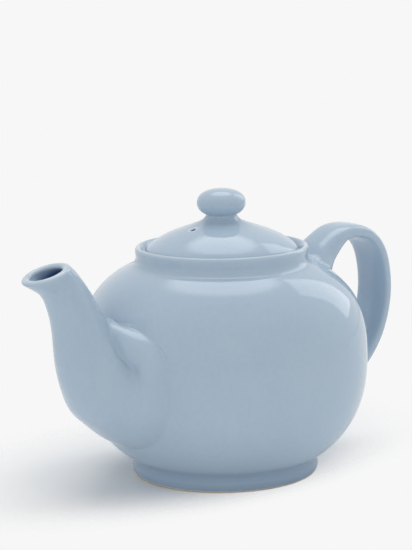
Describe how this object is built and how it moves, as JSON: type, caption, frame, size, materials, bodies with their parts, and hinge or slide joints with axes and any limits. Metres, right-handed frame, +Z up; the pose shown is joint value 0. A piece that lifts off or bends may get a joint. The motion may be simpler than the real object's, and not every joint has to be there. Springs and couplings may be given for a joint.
{
  "type": "glazed teapot with lift-off lid",
  "caption": "Round-bellied glazed ceramic teapot with an upswept flared spout, a strap ear handle and a lift-off domed lid with a ball knob.",
  "frame": {"origin": "on the flat face the foot stands on, under the middle of the teapot's length", "axes": "+Z up out of the lid's knob, +X towards the handle, -X towards the spout, Y across the teapot"},
  "size_m": [0.2306, 0.15, 0.1489],
  "materials": {
    "pot_glaze": "glossy pale blue glaze over a white body",
    "lid_glaze": "glossy pale blue glaze over a white body",
    "foot_ceramic": "glossy pale blue glaze, with a bare cream standing line"
  },
  "bodies": {
    "pot": {"pot_body": "pot_glaze", "collar": "pot_glaze", "foot_ring": "foot_ceramic", "spout": "pot_glaze", "handle": "pot_glaze", "strainer_grid": "pot_glaze"},
    "lid": {"lid_dome": "lid_glaze", "lid_flange": "lid_glaze", "lid_lug": "lid_glaze", "lid_knob": "lid_glaze"}
  },
  "joints": [
    {"name": "lid_lift", "type": "slide", "parent": "pot", "child": "lid", "axis": [0, 0, 1], "range_m": [0, 0.06]}
  ]
}
